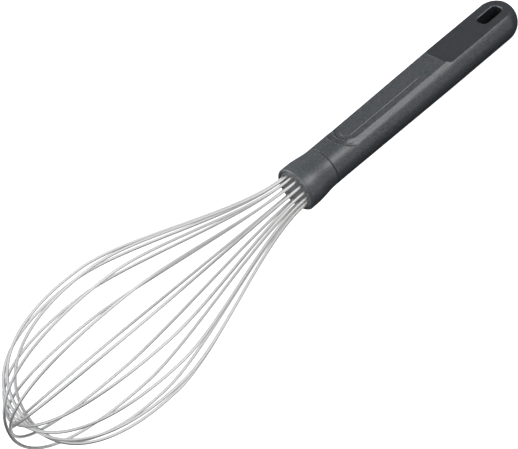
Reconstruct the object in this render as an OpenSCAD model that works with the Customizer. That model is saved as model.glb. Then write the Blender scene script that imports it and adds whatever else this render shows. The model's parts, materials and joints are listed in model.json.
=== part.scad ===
// Balloon whisk: eight nested wire loops, held in a bored plug at the mouth of a
// moulded handle. It lies at rest, +Z up and +X towards the wire tip, on the lowest
// strand and the butt of the handle. All sizes are in millimetres.

/* [Handle] */
// Length of the handle behind the collar's seam
handle_len = 123.5; // [115:0.1:140]
// Radius of the handle just behind the collar
neck_r = 9.5; // [9.3:0.05:9.9]
// Radius of the round butt end, where the handle is thickest
butt_r = 10.05; // [9.9:0.05:10.7]
// Height of the thumb flat above the handle's centre line
thumb_h = 7.5; // [7.3:0.05:7.9]
// Height of the smooth end panel above the handle's centre line
panel_h = 6.65; // [6.3:0.05:7]
// Length of the end panel, up to the butt
panel_len = 49; // [40:1:55]
// Length of the hanging slot
slot_len = 12.8; // [9:0.1:14]
// Width of the hanging slot
slot_w = 6.2; // [5.4:0.1:7]

/* [Collar] */
// Length of the visible collar
collar_len = 17.1; // [16:0.1:20]
// Radius of the collar's mouth
mouth_r = 10.6; // [10.3:0.05:11.1]
// Rounding of the mouth's outer edge
rim_round = 0.75; // [0.5:0.05:1.2]

/* [Wires] */
// Diameter of the wire
wire_d = 1.35; // [1:0.05:1.4]
// Radius of the ring of wire holes
ring_r = 7.42; // [7:0.02:7.5]
// Greatest radius of the wire balloon, to the wire's centre line
cage_r = 31.9; // [28:0.1:36]
// Distance from the mouth to the tip of the longest loop
cage_len = 163; // [150:1:175]
// Sides of each wire's section
wire_sides = 8; // [8:2:12]

/* [Hidden] */
$fn = 96;

dark_grey = [0.31, 0.33, 0.34];
collar_grey = [0.34, 0.36, 0.38];
plug_grey = [0.27, 0.28, 0.29];
resin_tan = [0.62, 0.58, 0.48];
steel = [0.76, 0.77, 0.78];

// Fits between the fixed pieces
fit = 0.05;
seam_gap = 0.1;
seam_chamfer = 0.25;

// Further out than any piece, for the cuts that run right through
far = 30;

// Collar, plug and seal, along the axis behind the mouth
straight_lip = 4.2;
plug_r = mouth_r - 1.5;
plug_recess = 0.3;
plug_back = 7;
seal_r = neck_r - 0.9;
seal_back = 13.4;
spigot_r = neck_r - 2.6;
spigot_len = 7.4;
socket_room = 0.3;
rim_steps = 4;
flare_steps = 10;

// Handle, along the axis behind the mouth
handle_front = collar_len + seam_gap;
handle_end = collar_len + handle_len;
butt_at = handle_end - butt_r;
panel_front = handle_end - panel_len;
panel_corner = 4;
panel_half_w = 8;
swell_front = collar_len + 7;
swell_back = panel_front - 3;
slot_corner = 2.2;
slot_at = handle_end - 13;

// Thumb grip: a ramp down to a flat, a bevel along each side, and a low pad on the flat
ramp_foot = collar_len + 12.45;
ramp_run = 4.5;
ramp_rise = 1.9;
pad_front = collar_len + 14.8;
pad_back = collar_len + 68.9;
pad_half_w = 3.15;
pad_rise = 0.35;
pad_fade = 10;
pad_root = 1;
bevel_turn = 46.5;
bevel_back = swell_back + 1.5;
bevel_front_depth = 0.2;
bevel_back_depth = 0.1;

// How far the flat and the panel's cut run on, past the panel's front and past the butt
flat_overrun = 3;
panel_overrun = 10;

// Wires: the holes, the tails and the loops' curve
loops = 8;
wire_r = wire_d / 2;
hole_r = wire_r + fit;
tail_back = 12.5;
nest_step = wire_d + fit;
strand_turn = 180 / loops;
widest_at = 0.609 * cage_len;
neck_pull = 0.172 * cage_len;
shoulder_pull = 0.153 * cage_len;
crown_pull = 0.0175 * cage_len;
crown_r = 1.12 * cage_r;
long_steps = 16;
tip_steps = 13;

function bezier(a, b, c, d, t) =
    pow(1 - t, 3) * a + 3 * t * pow(1 - t, 2) * b + 3 * t * t * (1 - t) * c + t * t * t * d;

// Centre line of half a loop, as [distance from the mouth, radius]
function half_loop(tip) = [
    [-tail_back, ring_r],
    for (i = [0 : long_steps])
        bezier(
            [0, ring_r], [neck_pull, ring_r],
            [widest_at - shoulder_pull, cage_r], [widest_at, cage_r],
            i / long_steps
        ),
    for (i = [1 : tip_steps])
        bezier(
            [widest_at, cage_r], [widest_at + crown_pull, cage_r],
            [tip, crown_r], [tip, 0],
            i / tip_steps
        )
];

function tip_of(i) = cage_len - i * nest_step;

// Whole centre line: out along one strand, over the tip and back along the other
function whole_loop(tip) =
    let (half = half_loop(tip), n = len(half))
    concat(half, [for (i = [n - 2 : -1 : 0]) [half[i][0], -half[i][1]]]);

// The lying pose: both the balloon and the butt reach down to the surface
outer_half = half_loop(cage_len);
function balloon_low(p) = min([for (q = outer_half) q[0] * sin(p) - q[1] * cos(p)]) - wire_r;
function butt_low(p) = -butt_at * sin(p) - butt_r;
function level_pitch(lo, hi, n) =
    let (mid = (lo + hi) / 2)
    n == 0 ? mid
    : balloon_low(mid) < butt_low(mid) ? level_pitch(mid, hi, n - 1)
    : level_pitch(lo, mid, n - 1);

// The pitch is found by halving the range from 0 to the steepest angle that it could be
steepest = 15;
halvings = 30;
pitch = level_pitch(0, steepest, halvings);
low_x = -butt_at * cos(pitch) - butt_r;
high_x = max([for (q = outer_half) q[0] * cos(pitch) + q[1] * sin(pitch)]) + wire_r;

// Lays the straight whisk down, with its box's bottom centre at the origin
module laid() {
    translate([-(low_x + high_x) / 2, 0, -butt_low(pitch)])
    rotate([0, -pitch, 0])
    children();
}

// Turns a profile of [radius, distance along the axis] about the whisk's axis
module turned(points) {
    rotate([0, 90, 0])
    rotate_extrude()
    polygon(points);
}

// A solid rod along the axis, from one distance to another
module rod(r, from, to) {
    translate([from, 0, 0])
    rotate([0, 90, 0])
    cylinder(r = r, h = to - from);
}

// Copies its child at each wire hole around the axis
module at_each_hole() {
    for (i = [0 : 2 * loops - 1])
        rotate([strand_turn * i, 0, 0])
        translate([0, 0, ring_r])
        children();
}

// A rectangle with four round corners, with straight runs along both sides
module round_plan(x0, x1, half_w, corner) {
    for (x = [x0 + corner, x1 - corner])
        for (y = [corner - half_w, half_w - corner])
            translate([x, y])
            circle(r = corner);
    translate([x0 + corner, -half_w])
    square([x1 - x0 - 2 * corner, 2 * half_w]);
    translate([x0, corner - half_w])
    square([x1 - x0, 2 * (half_w - corner)]);
}

// A plan with a half-round end at each end
module stadium(x0, x1, half_w) {
    for (x = [x0 + half_w, x1 - half_w])
        translate([x, 0])
        circle(r = half_w);
    translate([x0 + half_w, -half_w])
    square([x1 - x0 - 2 * half_w, 2 * half_w]);
}

// Extrudes a side view of [distance along the axis, height] across the handle
module side_cut(points, half_w) {
    translate([0, half_w, 0])
    rotate([90, 0, 0])
    linear_extrude(2 * half_w)
    polygon(points);
}

// The handle swells evenly from the neck to the end panel, and its butt is half a ball
module handle_blank() {
    turned([
        [0, -handle_front],
        [neck_r - seam_chamfer, -handle_front],
        [neck_r, -(handle_front + seam_chamfer)],
        [neck_r, -swell_front],
        [butt_r, -swell_back],
        [butt_r, -butt_at],
        [0, -butt_at]
    ]);
    translate([-butt_at, 0, 0])
    rotate([0, 90, 0])
    sphere(r = butt_r);
}

// The low pad has a wall around its front and sides, and runs out to nothing at its back
module thumb_pad() {
    intersection() {
        linear_extrude(far)
        stadium(-(pad_back + pad_half_w), -pad_front, pad_half_w);
        side_cut([
            [-pad_front, thumb_h - pad_root],
            [-pad_front, thumb_h + pad_rise],
            [-(pad_back - pad_fade), thumb_h + pad_rise],
            [-pad_back, thumb_h],
            [-pad_back, thumb_h - pad_root]
        ], far);
    }
}

// A bevel along one side of the flat, where it meets the round of the handle
module grip_bevel(way) {
    rotate([way * bevel_turn, 0, 0])
    side_cut([
        [-(ramp_foot - ramp_run), neck_r - bevel_front_depth],
        [-(ramp_foot - ramp_run), far],
        [-bevel_back, far],
        [-bevel_back, butt_r - bevel_back_depth]
    ], far);
}

// What is cut away above the thumb flat: everything but the low pad
module thumb_flat() {
    steep = (far - thumb_h) * ramp_run / ramp_rise;
    difference() {
        side_cut([
            [-ramp_foot, thumb_h],
            [-ramp_foot + steep, far],
            [-(panel_front + flat_overrun), far],
            [-(panel_front + flat_overrun), thumb_h]
        ], far);
        thumb_pad();
    }
}

module end_panel() {
    translate([0, 0, panel_h])
    linear_extrude(far)
    round_plan(-(handle_end + panel_overrun), -panel_front, panel_half_w, panel_corner);
}

module hanging_slot() {
    translate([0, 0, -far])
    linear_extrude(2 * far)
    round_plan(-slot_at - slot_len / 2, -slot_at + slot_len / 2, slot_w / 2, slot_corner);
}

module handle_body() {
    color(dark_grey)
    laid()
    difference() {
        handle_blank();
        rod(spigot_r + fit, -(collar_len + spigot_len + socket_room), 0);
        thumb_flat();
        grip_bevel(1);
        grip_bevel(-1);
        end_panel();
        hanging_slot();
    }
}

// The collar flares from the neck to the mouth, and its spigot enters the handle
function rim() = [
    for (i = [0 : rim_steps])
        let (a = 90 * i / rim_steps)
        [mouth_r - rim_round * (1 - sin(a)), -rim_round * (1 - cos(a))]
];
function flare() = [
    for (i = [0 : flare_steps])
        let (t = i / flare_steps, rise = (1 + cos(180 * t)) / 2)
        [
            neck_r + (mouth_r - neck_r) * rise,
            -(straight_lip + (collar_len - seam_chamfer - straight_lip) * t)
        ]
];

module collar() {
    color(collar_grey)
    laid()
    difference() {
        turned(concat(
            [[0, 0]],
            rim(),
            flare(),
            [
                [neck_r - seam_chamfer, -collar_len],
                [spigot_r, -collar_len],
                [spigot_r, -(collar_len + spigot_len)],
                [0, -(collar_len + spigot_len)]
            ]
        ));
        rod(plug_r + fit, -plug_back, far);
        rod(seal_r + fit, -(seal_back + fit), 0);
    }
}

// The plug has one hole for each strand, in a ring
module wire_holder() {
    color(plug_grey)
    laid()
    difference() {
        rod(plug_r, -plug_back, -plug_recess);
        at_each_hole()
        rod(hole_r, -far, far);
    }
}

// Hard resin behind the plug locks the ends of the wires
module resin_seal() {
    color(resin_tan)
    laid()
    difference() {
        rod(seal_r, -seal_back, -(plug_back + fit));
        at_each_hole()
        rod(hole_r, -(tail_back + fit), 0);
    }
}

// One wire, swept along its centre line in the upright plane through the axis
module wire(tip) {
    line = whole_loop(tip);
    rings = len(line);
    points = [
        for (i = [0 : rings - 1])
            let (
                before = line[max(i - 1, 0)],
                after = line[min(i + 1, rings - 1)],
                along = (after - before) / norm(after - before)
            )
            for (j = [0 : wire_sides - 1])
                let (a = 360 * j / wire_sides)
                [
                    line[i][0] - wire_r * cos(a) * along[1],
                    wire_r * sin(a),
                    line[i][1] + wire_r * cos(a) * along[0]
                ]
    ];
    skin = [
        for (i = [0 : rings - 2])
            for (j = [0 : wire_sides - 1])
                let (
                    k = (j + 1) % wire_sides,
                    a = i * wire_sides,
                    b = a + wire_sides
                )
                each [[a + j, a + k, b + k], [a + j, b + k, b + j]]
    ];
    caps = [
        [for (j = [wire_sides - 1 : -1 : 0]) j],
        [for (j = [0 : wire_sides - 1]) (rings - 1) * wire_sides + j]
    ];
    polyhedron(points, concat(skin, caps));
}

// Loop number 1 is the longest and upright; each next one is shorter by one wire
module wire_loop(number) {
    color(steel)
    laid()
    rotate([-strand_turn * (number - 1), 0, 0])
    wire(tip_of(number - 1));
}

handle_body();
collar();
wire_holder();
resin_seal();
wire_loop(1);  // wire_loop_1
wire_loop(2);  // wire_loop_2
wire_loop(3);  // wire_loop_3
wire_loop(4);  // wire_loop_4
wire_loop(5);  // wire_loop_5
wire_loop(6);  // wire_loop_6
wire_loop(7);  // wire_loop_7
wire_loop(8);  // wire_loop_8
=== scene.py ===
"""Balloon whisk: the looks. Every piece is built in the whisk's own straight frame (x along the
handle's centre line towards the wire tip, from the mouth; z out of the thumb side) and is then
laid down where the CAD frame has it. Sizes are in millimetres until a piece is made from them.
Places along the handle are given as "back", the distance behind the mouth."""
import json
from math import cos, exp, hypot, pi, radians, sin, sqrt

import bmesh
import bpy
from mathutils import Matrix, Vector


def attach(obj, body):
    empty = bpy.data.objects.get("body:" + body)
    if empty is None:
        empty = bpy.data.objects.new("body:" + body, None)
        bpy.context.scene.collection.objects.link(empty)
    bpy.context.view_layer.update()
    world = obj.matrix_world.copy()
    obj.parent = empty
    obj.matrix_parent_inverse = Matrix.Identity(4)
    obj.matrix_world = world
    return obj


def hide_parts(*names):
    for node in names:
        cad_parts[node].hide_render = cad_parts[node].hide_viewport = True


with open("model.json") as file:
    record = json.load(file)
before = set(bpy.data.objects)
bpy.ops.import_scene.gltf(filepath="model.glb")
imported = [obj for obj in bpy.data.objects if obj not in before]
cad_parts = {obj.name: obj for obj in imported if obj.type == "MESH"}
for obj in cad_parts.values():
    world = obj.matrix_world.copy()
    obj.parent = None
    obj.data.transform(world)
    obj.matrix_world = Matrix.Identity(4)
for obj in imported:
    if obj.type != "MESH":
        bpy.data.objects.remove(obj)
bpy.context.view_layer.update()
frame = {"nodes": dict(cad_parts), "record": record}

MM = 0.001

# ---------------------------- sizes, the CAD model's but for the pad's front and the eased wires

COLLAR_LEN = 17.1
HANDLE_END = 140.6
NECK_R, BUTT_R, MOUTH_R = 9.5, 10.05, 10.6
BUTT_AT = HANDLE_END - BUTT_R
SWELL_FRONT = COLLAR_LEN + 7
SEAM_GAP, SEAM_ROUND = 0.1, 0.25
RIM_ROUND, STRAIGHT_LIP = 0.75, 4.2
PLUG_R, PLUG_RECESS, PLUG_BACK = MOUTH_R - 1.5, 0.3, 7.0
SPIGOT_R, SPIGOT_LEN, SOCKET_ROOM = NECK_R - 2.6, 7.4, 0.3
SEAL_R, SEAL_BACK = NECK_R - 0.9, 13.4
FIT = 0.05

THUMB_H, PANEL_H = 7.5, 6.65
PANEL_FRONT, PANEL_CORNER, PANEL_HALF_W = HANDLE_END - 49, 4.0, 8.0
SLOT_AT, SLOT_LEN, SLOT_W, SLOT_CORNER = HANDLE_END - 13, 12.8, 6.2, 2.2

# The grip's three nested outlines: the bevel's outer edge, the flat's edge and the low pad, whose
# front is 0.9 mm nearer to the mouth than in the CAD model, where the photo has it
BEVEL_FRONT, BEVEL_HALF_W = COLLAR_LEN + 7.95, 7.75
FLAT_FRONT, FLAT_HALF_W = COLLAR_LEN + 12.45, 6.15
PAD_FRONT, PAD_BACK, PAD_HALF_W = COLLAR_LEN + 13.9, COLLAR_LEN + 68.9, 3.15
PAD_RISE, PAD_FADE, PAD_WALL = 0.35, 10.0, 0.45
# How far the outlines run on at the back, so that only their front ends show
GRIP_OVERRUN, PANEL_OVERRUN, PAD_OVERRUN = 40, 10, 4

LOOPS = 8
WIRE_R, RING_R, CAGE_R, CAGE_LEN = 0.675, 7.42, 31.9, 163.0
NEST_STEP = 2 * WIRE_R + FIT
TAIL_BACK = 12.5
# A smooth loop bulges past the CAD's straight-sided one, so the wire's radius and the loop's length
# are this much less
WIRE_EASE, TIP_EASE = 0.015, 0.2

# ---------------------------------------------------------------- the straight frame, laid down

panel_mount = next(m for m in frame["record"]["mounts"] if m["name"] == "end_panel")
# How far behind the mouth the end panel's mount is
PANEL_MOUNT_BACK = 110.0
thumb = Vector(panel_mount["axis"]).normalized()
side = Vector((0, 1, 0))
along = side.cross(thumb)
mouth = Vector(panel_mount["pos_m"]) + (along * PANEL_MOUNT_BACK - thumb * PANEL_H) * MM
LAID = Matrix.Translation(mouth) @ Matrix((along, side, thumb)).transposed().to_4x4()


def settle(obj, stands_for):
    """Lays a piece down from the straight frame, in place of its CAD node."""
    obj.data.transform(LAID)
    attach(obj, "root")
    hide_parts(stands_for)
    return obj


# ---------------------------------------------------------------- camera

FOCAL_MM, SENSOR_MM = 140.5, 36.0
# In the camera's own axes (right, up, towards the viewer): the way to the tip, the mouth's place
TIP_WAY = Vector((-0.703, -0.590, 0.398)).normalized()
MOUTH_SEEN = Vector((15.30, 14.51, -863.1)) * MM
THUMB_TURN = radians(42.5)


def add_camera():
    viewer = Vector((0, 0, 1))
    across = TIP_WAY.cross(viewer).normalized()
    facing = TIP_WAY.cross(across)
    thumb_seen = facing * -cos(THUMB_TURN) + across * sin(THUMB_TURN)
    side_seen = thumb_seen.cross(TIP_WAY)
    seen = Matrix((TIP_WAY, side_seen, thumb_seen)).transposed()
    turn = LAID.to_3x3() @ seen.transposed()
    camera = bpy.data.cameras.new("camera")
    camera.lens, camera.sensor_width = FOCAL_MM, SENSOR_MM
    camera.clip_start, camera.clip_end = 0.01, 100
    obj = bpy.data.objects.new("camera", camera)
    bpy.context.scene.collection.objects.link(obj)
    obj.matrix_world = Matrix.Translation(mouth - turn @ MOUTH_SEEN) @ turn.to_4x4()
    bpy.context.scene.camera = obj
    return turn


camera_turn = add_camera()

# ---------------------------------------------------------------- node helpers


def new_material(name):
    mat = bpy.data.materials.new(name)
    mat.use_nodes = True
    tree = mat.node_tree
    return mat, tree, tree.nodes["Principled BSDF"]


def add_node(tree, kind, inputs=(), **settings):
    node = tree.nodes.new(kind)
    for key, value in settings.items():
        setattr(node, key, value)
    for key, value in dict(inputs).items():
        if isinstance(value, bpy.types.NodeSocket):
            tree.links.new(value, node.inputs[key])
        else:
            node.inputs[key].default_value = value
    return node


def ramp(tree, fac, stops):
    """A colour ramp of (position, colour) stops."""
    node = add_node(tree, "ShaderNodeValToRGB", {"Fac": fac})
    elements = node.color_ramp.elements
    while len(elements) < len(stops):
        elements.new(0.5)
    for element, (position, colour) in zip(elements, stops):
        element.position = position
        element.color = (*colour, 1)
    return node.outputs["Color"]


def noise(tree, place, scale, detail):
    """Noise that stays put on the piece."""
    inputs = {"Vector": place, "Scale": scale, "Detail": detail}
    return add_node(tree, "ShaderNodeTexNoise", inputs).outputs["Fac"]


def grey(value):
    return (value, value, value)


# ---------------------------------------------------------------- materials


WARM_TINT, COOL_TINT = (1.05, 0.975, 0.97), (0.96, 1.015, 1.03)
# Noise scales, per metre
MOTTLE_SCALE, TINT_SCALE, GRAIN_SCALE = 1500.0, 420.0, 2600.0
WIRE_SCALE, RESIN_SCALE = 160.0, 300.0
GLOSS_SPREAD = 0.03
GRAIN_DEPTH = 0.0001


def moulded_plastic(name, low, high, roughness, grain, shine=0.5):
    """Dark plastic: mottled and tinted colour, an orange-peel grain and slightly uneven gloss."""
    mat, tree, shader = new_material(name)
    place = add_node(tree, "ShaderNodeTexCoord").outputs["Object"]
    mottle = noise(tree, place, MOTTLE_SCALE, 5.0)
    colour = ramp(tree, mottle, [(0.39, low), (0.61, high)])
    cloud = noise(tree, place, TINT_SCALE, 3.0)
    tint = ramp(tree, cloud, [(0.35, WARM_TINT), (0.65, COOL_TINT)])
    tinted = add_node(tree, "ShaderNodeVectorMath", {0: colour, 1: tint}, operation="MULTIPLY")
    tree.links.new(tinted.outputs["Vector"], shader.inputs["Base Color"])
    fine = noise(tree, place, GRAIN_SCALE, 3.0)
    dull, bright = grey(roughness + GLOSS_SPREAD), grey(roughness - GLOSS_SPREAD)
    gloss = ramp(tree, fine, [(0.3, bright), (0.7, dull)])
    tree.links.new(gloss, shader.inputs["Roughness"])
    bump = add_node(
        tree, "ShaderNodeBump",
        {"Height": fine, "Strength": grain, "Distance": GRAIN_DEPTH},
    )
    tree.links.new(bump.outputs["Normal"], shader.inputs["Normal"])
    shader.inputs["IOR"].default_value = 1.45
    shader.inputs["Specular IOR Level"].default_value = shine
    return mat


def steel_wire():
    """Drawn stainless with a soft, slightly cloudy polish."""
    mat, tree, shader = new_material("steel_wire")
    place = add_node(tree, "ShaderNodeTexCoord").outputs["Object"]
    cloud = noise(tree, place, WIRE_SCALE, 5.0)
    duller, whiter = (0.92, 0.90, 0.87), (0.98, 0.96, 0.93)
    colour = ramp(tree, cloud, [(0.3, duller), (0.7, whiter)])
    tree.links.new(colour, shader.inputs["Base Color"])
    gloss = ramp(tree, cloud, [(0.3, grey(0.34)), (0.7, grey(0.46))])
    tree.links.new(gloss, shader.inputs["Roughness"])
    shader.inputs["Metallic"].default_value = 1.0
    return mat


def cast_resin():
    """Hard tan resin."""
    mat, tree, shader = new_material("cast_resin")
    place = add_node(tree, "ShaderNodeTexCoord").outputs["Object"]
    cloud = noise(tree, place, RESIN_SCALE, 3.0)
    darker, lighter = (0.33, 0.28, 0.19), (0.39, 0.34, 0.25)
    colour = ramp(tree, cloud, [(0.3, darker), (0.7, lighter)])
    tree.links.new(colour, shader.inputs["Base Color"])
    shader.inputs["Roughness"].default_value = 0.25
    return mat


HANDLE_PLASTIC = moulded_plastic(
    "handle_plastic", (0.022, 0.0245, 0.026), (0.048, 0.053, 0.056), roughness=0.38, grain=0.4
)
PANEL_PLASTIC = moulded_plastic(
    "panel_plastic", (0.010, 0.011, 0.0125), (0.020, 0.022, 0.024), roughness=0.36, grain=0.15
)
# The slot's inner walls get a near-black, duller copy of the handle plastic: painted shade for the
# dark inside of the hanging slot.
SLOT_PAINTED_SHADE = moulded_plastic(
    "slot_painted_shade", (0.006, 0.0065, 0.007), (0.010, 0.011, 0.012),
    roughness=0.6, grain=0.15, shine=0.15,
)
COLLAR_PLASTIC = moulded_plastic(
    "collar_plastic", (0.032, 0.036, 0.038), (0.056, 0.061, 0.065), roughness=0.38, grain=0.3
)
PLUG_PLASTIC = moulded_plastic(
    "plug_plastic", (0.085, 0.088, 0.092), (0.110, 0.114, 0.119), roughness=0.5, grain=0.2
)
STEEL = steel_wire()
RESIN = cast_resin()

# ---------------------------------------------------------------- mesh helpers

# The radius of a turned piece's end rings, whose points are then joined on the axis
AXIS_R = 0.0001
JOIN_DIST = 1e-7


def mesh_piece(name, points, faces, materials=()):
    """An object from points in millimetres, still in the straight frame."""
    mesh = bpy.data.meshes.new(name)
    mesh.from_pydata([Vector(p) * MM for p in points], [], faces)
    for mat in materials:
        mesh.materials.append(mat)
    obj = bpy.data.objects.new(name, mesh)
    bpy.context.scene.collection.objects.link(obj)
    return obj


def tidy_normals(obj):
    """Joins points that coincide and turns all faces outwards."""
    mesh = bmesh.new()
    mesh.from_mesh(obj.data)
    bmesh.ops.remove_doubles(mesh, verts=mesh.verts, dist=JOIN_DIST)
    bmesh.ops.recalc_face_normals(mesh, faces=mesh.faces)
    mesh.to_mesh(obj.data)
    mesh.free()


def shade(obj, sharp_deg):
    for face in obj.data.polygons:
        face.use_smooth = True
    obj.data.set_sharp_from_angle(angle=radians(sharp_deg))


def closed_grid(rows):
    """Points and faces of rings of equal length, with one flat face closing each end."""
    count = len(rows[0])
    points = [p for row in rows for p in row]
    faces = [list(range(count))[::-1]]
    for i in range(len(rows) - 1):
        for j in range(count):
            k = (j + 1) % count
            faces.append((i * count + j, i * count + k, (i + 1) * count + k, (i + 1) * count + j))
    last = (len(rows) - 1) * count
    faces.append([last + j for j in range(count)])
    return points, faces


def ring(back, radius, angles):
    """A ring of points at a distance behind the mouth; angle 0 is the thumb side."""
    return [(-back, radius * sin(a), radius * cos(a)) for a in angles]


def lathe(profile, segments=160):
    """A turned piece, from its profile as (back, radius) pairs."""
    angles = [2 * pi * j / segments for j in range(segments)]
    return closed_grid([ring(back, radius, angles) for back, radius in profile])


def graded(*stretches):
    """Places along a line, from (start, end, step) stretches that follow each other."""
    places = []
    for start, end, step in stretches:
        count = max(1, round((end - start) / step))
        places += [start + (end - start) * i / count for i in range(count)]
    return places + [stretches[-1][1]]


def smooth_step(value, low, high):
    """0 below low, 1 above high, and an S curve between them."""
    t = min(max((value - low) / (high - low), 0), 1)
    return t * t * (3 - 2 * t)


def soft_min(a, b, reach):
    """The lesser of two values, blended where they are less than reach apart."""
    blend = max(reach - abs(a - b), 0) / reach
    return min(a, b) - blend * blend * reach / 4


def in_stadium(back, across, start, end, half_w):
    """Distance outside a long round-ended plan; negative inside it."""
    along_by = max(start + half_w - back, back - (end - half_w), 0)
    return hypot(along_by, across) - half_w


def in_round_plan(back, across, start, end, half_w, corner):
    """Distance outside a rectangle with round corners; negative inside it."""
    dx = abs(back - (start + end) / 2) - ((end - start) / 2 - corner)
    dy = abs(across) - (half_w - corner)
    return hypot(max(dx, 0), max(dy, 0)) + min(max(dx, dy), 0) - corner


def cut_with(obj, cutters):
    """Takes the cutters away from the piece, and leaves none of them in the scene."""
    for cutter in cutters:
        mod = obj.modifiers.new("cut", "BOOLEAN")
        mod.operation, mod.solver, mod.object = "DIFFERENCE", "EXACT", cutter
        bpy.context.view_layer.update()
        graph = bpy.context.evaluated_depsgraph_get()
        done = bpy.data.meshes.new_from_object(obj.evaluated_get(graph))
        obj.modifiers.remove(mod)
        obj.data = done
    for cutter in cutters:
        bpy.data.objects.remove(cutter)


# ---------------------------------------------------------------- handle

# Distances across the grip at which the front's shape starts and ends its turn into the sides'
SIDE_START, SIDE_END = 3.6, 5.2

# The facet along each side: its turn from the thumb side, its depth in the barrel, and how much
# deeper its front is cut, which fades out between two places along the handle
BEVEL_TURN, BEVEL_DEPTH, BEVEL_FRONT_DEPTH = radians(46.5), 0.12, 0.13
DEEP_FADE = 31.5, 35
# The slope of the walls at the facet's two edges, and the blend into them
WALL_SLOPE, BEVEL_BLEND = 3.0, 0.1

# The ramp in the middle: the blend at the flat, its least run, and its longest reach in runs
RAMP_BLEND, RAMP_RUN, RAMP_REACH = 0.15, 0.3, 1.6

# Beads on the contours: distance outside the outline, height and width. The lip has its own extra
# height in the middle, and it and the side moat fade out between two places along the handle
LIP_AT, LIP_H, LIP_MIDDLE_RISE, LIP_W = 0.1, 0.05, 0.19, 0.32
MOAT_AT, MOAT_H, MOAT_W = -0.95, 0.30, 0.5
SIDE_MOAT_AT, SIDE_MOAT_H, SIDE_MOAT_W = -0.45, 0.18, 0.35
RIDGE_AT, RIDGE_H, RIDGE_W = 0.95, 0.6, 0.5
BEAD_FADE = 29.5, 32.5

EDGE_SOFT = 0.2
PANEL_EDGE_SOFT, PANEL_WALL = 0.3, 0.6
SLOT_ROUND = 0.5

# Where the thumb side is cut: least cosine of the angle from it, and lead before the bevel
CUT_COS, CUT_LEAD = 0.4, 2
# The cut's onset across the bevel's edge, and its end after the panel's front
CUT_ONSET = -0.9, 0.3
CUT_END = PANEL_FRONT - 1, PANEL_FRONT + 4
HALVINGS = 14

# The seam's edges: the collar's shoulder stops short of the seam, and each edge is eased in a facet
SHOULDER_SHORT, SEAM_FACET = 0.06, 0.1
COLLAR_FACET_AT, HANDLE_FACET_AT = 0.12, 0.08

# Angles from the thumb side up to which the mesh is fine, and the steps inside and outside them
FINE_DEG, FINE_STEP, COARSE_STEP = 62, 0.8, 2.5
# Cross-sections as (from, to, step), closest at the grip's front and at the panel's
SECTIONS = (
    (COLLAR_LEN + SEAM_GAP + 0.5, 24.2, 0.8), (24.2, 37, 0.16), (37, 45, 0.4), (45, 82, 1.0),
    (82, 90, 0.5), (90, 99, 0.2), (99, 120, 0.8), (120, BUTT_AT, 0.25),
)
BUTT_RINGS = 40
CORNER_STEPS = 12
CUTTER_REACH = 20


def barrel_r(back):
    """Radius of the round handle, before anything is cut from it."""
    t = min(max((back - SWELL_FRONT) / (PANEL_FRONT - SWELL_FRONT), 0), 1)
    return NECK_R + (BUTT_R - NECK_R) * t


def bevel_rim_height(back, across):
    """Height of the round handle at the nearest point of the bevel's outer edge."""
    ahead = max(BEVEL_FRONT + BEVEL_HALF_W - back, 0)
    rim_across = BEVEL_HALF_W * across / max(hypot(ahead, across), 0.001)
    return sqrt(barrel_r(back) ** 2 - rim_across ** 2)


def bevel_gap(back, across):
    """Distance outside the bevel's outer edge; negative inside it."""
    return in_stadium(back, across, BEVEL_FRONT, HANDLE_END + GRIP_OVERRUN, BEVEL_HALF_W)


def flat_gap(back, across):
    """Distance outside the flat's edge; negative inside it."""
    return in_stadium(back, across, FLAT_FRONT, HANDLE_END + GRIP_OVERRUN, FLAT_HALF_W)


def slot_gap(back, across):
    """Distance outside the hanging slot's outline; negative inside it."""
    half = SLOT_LEN / 2
    return in_round_plan(back, across, SLOT_AT - half, SLOT_AT + half, SLOT_W / 2, SLOT_CORNER)


def side_turn(across):
    """0 across the middle of the grip's front, 1 along its sides."""
    return smooth_step(abs(across), SIDE_START, SIDE_END)


def bevel_height(back, across):
    """Height of the flat facet along each side; it is cut a little deeper at its front end."""
    depth = BEVEL_DEPTH + BEVEL_FRONT_DEPTH * (1 - smooth_step(back, *DEEP_FADE))
    return (barrel_r(back) - depth - abs(across) * sin(BEVEL_TURN)) / cos(BEVEL_TURN)


def thumb_height(back, across):
    """Height of the thumb side above the centre line: a ramp down to the flat in the middle, a
    straight facet along each side, the flat between them, and the low pad."""
    flat, bevel = flat_gap(back, across), bevel_gap(back, across)
    rim = bevel_rim_height(back, across)
    run = max(flat - bevel, RAMP_RUN)
    out = smooth_step(flat, -RAMP_BLEND, RAMP_BLEND) * max(flat, 0) / run
    ramp_height = THUMB_H + min(out, RAMP_REACH) * (rim - THUMB_H)
    flat_wall = THUMB_H + WALL_SLOPE * max(flat, 0)
    side_height = soft_min(bevel_height(back, across), flat_wall, BEVEL_BLEND)
    side_height += WALL_SLOPE * max(bevel, 0)
    height = ramp_height + (side_height - ramp_height) * side_turn(across)
    pad = in_stadium(back, across, PAD_FRONT, PAD_BACK + PAD_OVERRUN, PAD_HALF_W)
    share = min(max((PAD_BACK - back) / PAD_FADE, 0), 1)
    return height + PAD_RISE * share * smooth_step(-pad, 0, PAD_WALL)


def bead(distance, height, width):
    return height * exp(-(distance / width) ** 2)


def contour_beads(back, across):
    """A lip and a moat along the bevel's outer edge, and a ridge in front of the flat."""
    bevel, flat = bevel_gap(back, across), flat_gap(back, across)
    middle = 1 - side_turn(across)
    front = 1 - smooth_step(back, *BEAD_FADE)
    lip = bead(bevel - LIP_AT, LIP_H + LIP_MIDDLE_RISE * middle, LIP_W) * front
    side_moat = bead(bevel - SIDE_MOAT_AT, SIDE_MOAT_H, SIDE_MOAT_W) * (1 - middle) * front
    moat = bead(bevel - MOAT_AT, MOAT_H, MOAT_W) * middle + side_moat
    ridge = bead(flat - RIDGE_AT, RIDGE_H, RIDGE_W) * middle
    return lip - moat + ridge


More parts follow.
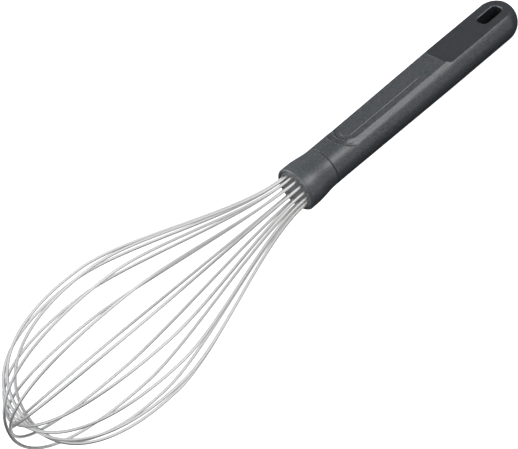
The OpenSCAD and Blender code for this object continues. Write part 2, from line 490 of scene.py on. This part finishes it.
def cut_radius(back, radius, angle):
    """Radius at which the thumb side's surface is met, out from the centre line."""
    low, high = 0.5 * radius, radius
    for _ in range(HALVINGS):
        mid = (low + high) / 2
        if mid * cos(angle) > thumb_height(back, mid * sin(angle)):
            high = mid
        else:
            low = mid
    return low


def panel_share(back, across):
    """1 well inside the end panel's outline, 0 outside it."""
    end = HANDLE_END + PANEL_OVERRUN
    gap = in_round_plan(back, across, PANEL_FRONT, end, PANEL_HALF_W, PANEL_CORNER)
    return smooth_step(-gap, 0, PANEL_WALL)


def handle_point(back, radius, angle):
    """A point on the handle's skin, with the round blank's radius cut back on the thumb side."""
    across = radius * sin(angle)
    if cos(angle) > CUT_COS and back > BEVEL_FRONT - CUT_LEAD:
        cut = soft_min(radius, cut_radius(back, radius, angle), EDGE_SOFT)
        cut += contour_beads(back, across)
        grip = smooth_step(-bevel_gap(back, across), *CUT_ONSET)
        grip *= 1 - smooth_step(back, *CUT_END)
        radius += (cut - radius) * grip
        low = soft_min(radius, PANEL_H / cos(angle), PANEL_EDGE_SOFT)
        radius += (low - radius) * panel_share(back, radius * sin(angle))
    y, z = radius * sin(angle), radius * cos(angle)
    edge = slot_gap(back, y)
    if edge < SLOT_ROUND:
        fall = (1 - max(edge, 0) / SLOT_ROUND) ** 2 * SLOT_ROUND
        z -= fall if z > 0 else -fall
    return (-back, y, z)


def handle_rows():
    """The handle's cross-sections, from the hidden socket round the seam to the butt."""
    fine = (-FINE_DEG, FINE_DEG, FINE_STEP)
    coarse = (FINE_DEG, 360 - FINE_DEG, COARSE_STEP)
    angles = [radians(a) for a in graded(fine, coarse)][:-1]
    front = COLLAR_LEN + SEAM_GAP
    socket_r, socket_end = SPIGOT_R + FIT, COLLAR_LEN + SPIGOT_LEN + SOCKET_ROOM
    start = [
        (socket_end, socket_r), (front, socket_r), (front, NECK_R - SEAM_ROUND),
        (front + HANDLE_FACET_AT, NECK_R - SEAM_FACET), (front + SEAM_ROUND, NECK_R),
    ]
    rows = [ring(back, radius, angles) for back, radius in start]
    rows += [[handle_point(b, barrel_r(b), a) for a in angles] for b in graded(*SECTIONS)]
    for i in range(1, BUTT_RINGS):
        lift = pi / 2 * i / BUTT_RINGS
        back, radius = BUTT_AT + BUTT_R * sin(lift), BUTT_R * cos(lift)
        rows.append([handle_point(back, radius, a) for a in angles])
    return rows


def slot_cutter():
    """A prism with the slot's outline, right through the handle."""
    outline = []
    for cx, cy, start in ((1, 1, 0), (-1, 1, 90), (-1, -1, 180), (1, -1, 270)):
        for i in range(CORNER_STEPS + 1):
            a = radians(start + 90 * i / CORNER_STEPS)
            outline.append((
                -SLOT_AT + cx * (SLOT_LEN / 2 - SLOT_CORNER) + SLOT_CORNER * cos(a),
                cy * (SLOT_W / 2 - SLOT_CORNER) + SLOT_CORNER * sin(a),
            ))
    rows = [[(x, y, z) for x, y in outline] for z in (-CUTTER_REACH, CUTTER_REACH)]
    return mesh_piece("cutter", *closed_grid(rows))


# How near a face is to the panel's height or the slot's outline, and how it faces, to be part of it
PANEL_NEAR, PANEL_FACING = 0.12, 0.9
SLOT_NEAR, SLOT_FACING = 0.05, 0.1


def make_handle():
    points, faces = closed_grid(handle_rows())
    handle = mesh_piece("handle", points, faces, [HANDLE_PLASTIC, PANEL_PLASTIC, SLOT_PAINTED_SHADE])
    tidy_normals(handle)
    cut_with(handle, [slot_cutter()])
    for face in handle.data.polygons:
        back, height = -face.center.x / MM, face.center.z / MM
        level = abs(height - PANEL_H) < PANEL_NEAR and face.normal.z > PANEL_FACING
        upright = abs(face.normal.z) < SLOT_FACING
        in_slot = upright and slot_gap(back, face.center.y / MM) < SLOT_NEAR
        # Faces on the slot's walls take the near-black material, which is painted shade inside the
        # slot.
        face.material_index = 2 if in_slot else 1 if level and back > PANEL_FRONT else 0
    shade(handle, sharp_deg=38)
    return settle(handle, "handle_body")


# ---------------------------------------------------------------- collar, plug and seal


# 1 is a true quarter round; more flattens its middle, which catches a line of light
RIM_FLATNESS = 1.45
RIM_STEPS, FLARE_STEPS = 12, 40
MOUTH_EDGE, MOUTH_EDGE_R = 0.25, PLUG_R + 0.3
SPIGOT_EDGE = 0.3


def make_collar():
    """The flared ring, bored for the plug and the seal, with its spigot in the handle."""
    seal_bore, plug_bore = SEAL_R + FIT, PLUG_R + FIT
    profile = [
        (SEAL_BACK + FIT, AXIS_R), (SEAL_BACK + FIT, seal_bore), (PLUG_BACK, seal_bore),
        (PLUG_BACK, plug_bore), (MOUTH_EDGE, plug_bore), (0, MOUTH_EDGE_R),
    ]
    for i in range(RIM_STEPS + 1):
        a = pi / 2 * i / RIM_STEPS
        face, wall = cos(a) ** RIM_FLATNESS, sin(a) ** RIM_FLATNESS
        profile.append((RIM_ROUND * (1 - face), MOUTH_R - RIM_ROUND * (1 - wall)))
    seam = COLLAR_LEN - SEAM_ROUND
    for i in range(FLARE_STEPS + 1):
        t = i / FLARE_STEPS
        rise = (1 + cos(pi * t)) / 2
        place = STRAIGHT_LIP + (seam - STRAIGHT_LIP) * t
        profile.append((place, NECK_R + (MOUTH_R - NECK_R) * rise))
    shoulder, spigot_end = COLLAR_LEN - SHOULDER_SHORT, COLLAR_LEN + SPIGOT_LEN
    profile += [
        (COLLAR_LEN - COLLAR_FACET_AT, NECK_R - SEAM_FACET), (shoulder, NECK_R - SEAM_ROUND),
        (shoulder, SPIGOT_R), (COLLAR_LEN, SPIGOT_R), (spigot_end - SPIGOT_EDGE, SPIGOT_R),
        (spigot_end, SPIGOT_R - SPIGOT_EDGE),
    ]
    collar = mesh_piece("collar_ring", *lathe(profile), [COLLAR_PLASTIC])
    tidy_normals(collar)
    shade(collar, sharp_deg=40)
    return settle(collar, "collar")


HOLE_R, HOLE_MOUTH_R = WIRE_R + FIT, 1.02
HOLE_FLARE_END, HOLE_LEAD, HOLE_LEAD_FLARE = 1.1, 2, 0.3
HOLE_SIDES = 24
PLUG_EDGE, PLUG_SEGMENTS = 0.25, 96


def hole_cutter():
    """All the wire holes as one cutter: each has a flared mouth and a straight bore."""
    bore = (
        (-HOLE_LEAD, HOLE_MOUTH_R + HOLE_LEAD_FLARE), (PLUG_RECESS, HOLE_MOUTH_R),
        (HOLE_FLARE_END, HOLE_R), (CUTTER_REACH, HOLE_R),
    )
    angles = [2 * pi * j / HOLE_SIDES for j in range(HOLE_SIDES)]
    points, faces = [], []
    for i in range(2 * LOOPS):
        turn = Matrix.Rotation(pi * i / LOOPS, 3, "X")
        rows = []
        for back, radius in bore:
            circle = [(radius * sin(a), radius * cos(a)) for a in angles]
            rows.append([turn @ Vector((-back, y, RING_R + z)) for y, z in circle])
        new_points, new_faces = closed_grid(rows)
        faces += [[len(points) + k for k in face] for face in new_faces]
        points += new_points
    return mesh_piece("cutter", points, faces)


def make_plug():
    """The wire holder in the mouth, with its holes."""
    profile = [
        (PLUG_RECESS, AXIS_R), (PLUG_RECESS, PLUG_R - PLUG_EDGE),
        (PLUG_RECESS + PLUG_EDGE, PLUG_R), (PLUG_BACK, PLUG_R),
    ]
    plug = mesh_piece("plug", *lathe(profile, PLUG_SEGMENTS), [PLUG_PLASTIC])
    tidy_normals(plug)
    cut_with(plug, [hole_cutter()])
    tidy_normals(plug)
    shade(plug, sharp_deg=30)
    return settle(plug, "wire_holder")


# ---------------------------------------------------------------- wires

# The curve's knots and handles, as shares of the cage's length, and of its radius at the tip
WIDEST_SHARE, NECK_PULL, BELLY_PULL, SHOULDER_PULL, TIP_PULL = 0.609, 0.172, 0.153, 0.0175, 1.12
TAIL_HANDLE, MOUTH_HANDLE = 8.0, 4.0


def loop_knots(tip):
    """Half a loop's knots as (handle before, knot, handle after), each (distance ahead of the
    mouth, radius)."""
    widest = WIDEST_SHARE * CAGE_LEN
    before, after = widest - BELLY_PULL * CAGE_LEN, widest + SHOULDER_PULL * CAGE_LEN
    return [
        ((-TAIL_BACK, RING_R), (-TAIL_BACK, RING_R), (-TAIL_HANDLE, RING_R)),
        ((-MOUTH_HANDLE, RING_R), (0.0, RING_R), (NECK_PULL * CAGE_LEN, RING_R)),
        ((before, CAGE_R), (widest, CAGE_R), (after, CAGE_R)),
        ((tip, TIP_PULL * CAGE_R), (tip, 0.0), (tip, -TIP_PULL * CAGE_R)),
    ]


def make_loop(number):
    """Loop 1 is the longest and upright; each next one is a wire shorter and turned on."""
    half = loop_knots(CAGE_LEN - TIP_EASE - (number - 1) * NEST_STEP)
    back = [tuple((x, -r) for x, r in reversed(knot)) for knot in reversed(half[:-1])]
    knots = half + back
    curve = bpy.data.curves.new(f"loop_{number}", "CURVE")
    curve.dimensions = "3D"
    curve.bevel_depth = (WIRE_R - WIRE_EASE) * MM
    curve.bevel_resolution = 4
    curve.resolution_u = 40
    curve.use_fill_caps = True
    spline = curve.splines.new("BEZIER")
    spline.bezier_points.add(len(knots) - 1)
    turn = Matrix.Rotation(-pi * (number - 1) / LOOPS, 3, "X")
    for point, knot in zip(spline.bezier_points, knots):
        before, here, after = (turn @ Vector((x, 0, r)) * MM for x, r in knot)
        point.handle_left_type = point.handle_right_type = "FREE"
        point.handle_left, point.co, point.handle_right = before, here, after
    curve.materials.append(STEEL)
    obj = bpy.data.objects.new(f"loop_{number}", curve)
    bpy.context.scene.collection.objects.link(obj)
    return settle(obj, f"wire_loop_{number}")


# ---------------------------------------------------------------- floor and light


FLOOR_HALF = 20.0
LIGHT_DISTANCE = 1.2


def add_floor():
    """A plain pale floor, which throws no light on the whisk and isn't seen in it."""
    far = FLOOR_HALF
    mesh = bpy.data.meshes.new("floor")
    corners = [(-far, -far, 0), (far, -far, 0), (far, far, 0), (-far, far, 0)]
    mesh.from_pydata(corners, [], [(0, 1, 2, 3)])
    mat, _, shader = new_material("floor")
    shader.inputs["Base Color"].default_value = (0.9, 0.9, 0.9, 1)
    shader.inputs["Emission Color"].default_value = (1, 1, 1, 1)
    shader.inputs["Emission Strength"].default_value = 1.0
    mesh.materials.append(mat)
    obj = bpy.data.objects.new("floor", mesh)
    bpy.context.scene.collection.objects.link(obj)
    obj.visible_diffuse = obj.visible_glossy = False


def add_light(name, towards, size, power, lit):
    """A soft square light, aimed at the whisk's mouth, that reaches only the given pieces.
    towards is its direction in the camera's axes."""
    light = bpy.data.lights.new(name, "AREA")
    light.shape, light.size, light.energy = "SQUARE", size, power
    obj = bpy.data.objects.new(name, light)
    bpy.context.scene.collection.objects.link(obj)
    way = (camera_turn @ Vector(towards)).normalized()
    obj.location = mouth + way * LIGHT_DISTANCE
    obj.rotation_euler = way.to_track_quat("Z", "Y").to_euler()
    obj.light_linking.receiver_collection = bpy.data.collections.new(name + "_lit")
    for piece in lit:
        obj.light_linking.receiver_collection.objects.link(piece)


BRIGHT_WAY = (-0.55, 0.60, 0.58)
SKY = [(0.0, 0.01), (0.25, 0.035), (0.5, 0.26), (0.75, 0.56), (1.0, 0.68)]
SKY_TINT = Vector((0.94, 0.98, 1.04))


def add_world():
    """A studio that is dark to the camera's lower right and bright to its upper left."""
    world = bpy.data.worlds.new("studio")
    world.use_nodes = True
    tree = world.node_tree
    way = add_node(tree, "ShaderNodeTexCoord").outputs["Generated"]
    bright = (camera_turn @ Vector(BRIGHT_WAY)).normalized()
    facing = add_node(tree, "ShaderNodeVectorMath", {0: way, 1: bright}, operation="DOT_PRODUCT")
    spread = {"Value": facing.outputs["Value"], "From Min": -1.0}
    share = add_node(tree, "ShaderNodeMapRange", spread)
    shades = ramp(tree, share.outputs["Result"], [(at, SKY_TINT * value) for at, value in SKY])
    tree.links.new(shades, tree.nodes["Background"].inputs["Color"])
    bpy.context.scene.world = world


moulded = [make_handle(), make_collar(), make_plug()]
wires = [make_loop(number) for number in range(1, LOOPS + 1)]
# The seal is hidden, so its CAD node is kept and only gets its own material
seal = frame["nodes"]["resin_seal"]
seal.data.materials.clear()
seal.data.materials.append(RESIN)

add_floor()
add_world()
add_light("key", (0.62, 0.40, 0.68), 0.5, 9.2, moulded)
add_light("right_fill", (0.92, -0.20, 0.33), 0.8, 2.4, moulded)
add_light("front_fill", (-0.28, 0.15, 0.93), 0.6, 3.5, moulded)
add_light("tip_fill", (-0.56, -0.47, 0.68), 0.5, 10.0, moulded)
add_light("left_fill", (-0.92, 0.36, 0.08), 1.0, 14.0, moulded)
add_light("wire_key", (0.50, 0.52, 0.70), 1.3, 2.5, wires)
add_light("wire_top", (-0.10, 0.95, 0.20), 1.6, 1.4, wires)
add_light("wire_left", (-0.60, -0.45, 0.65), 1.2, 1.6, wires)
add_light("wire_right", (0.90, -0.20, 0.40), 1.2, 2.7, wires)
add_light("wire_low", (0.35, -0.60, -0.70), 1.6, 4.6, wires)
bpy.context.scene.view_settings.view_transform = "Standard"
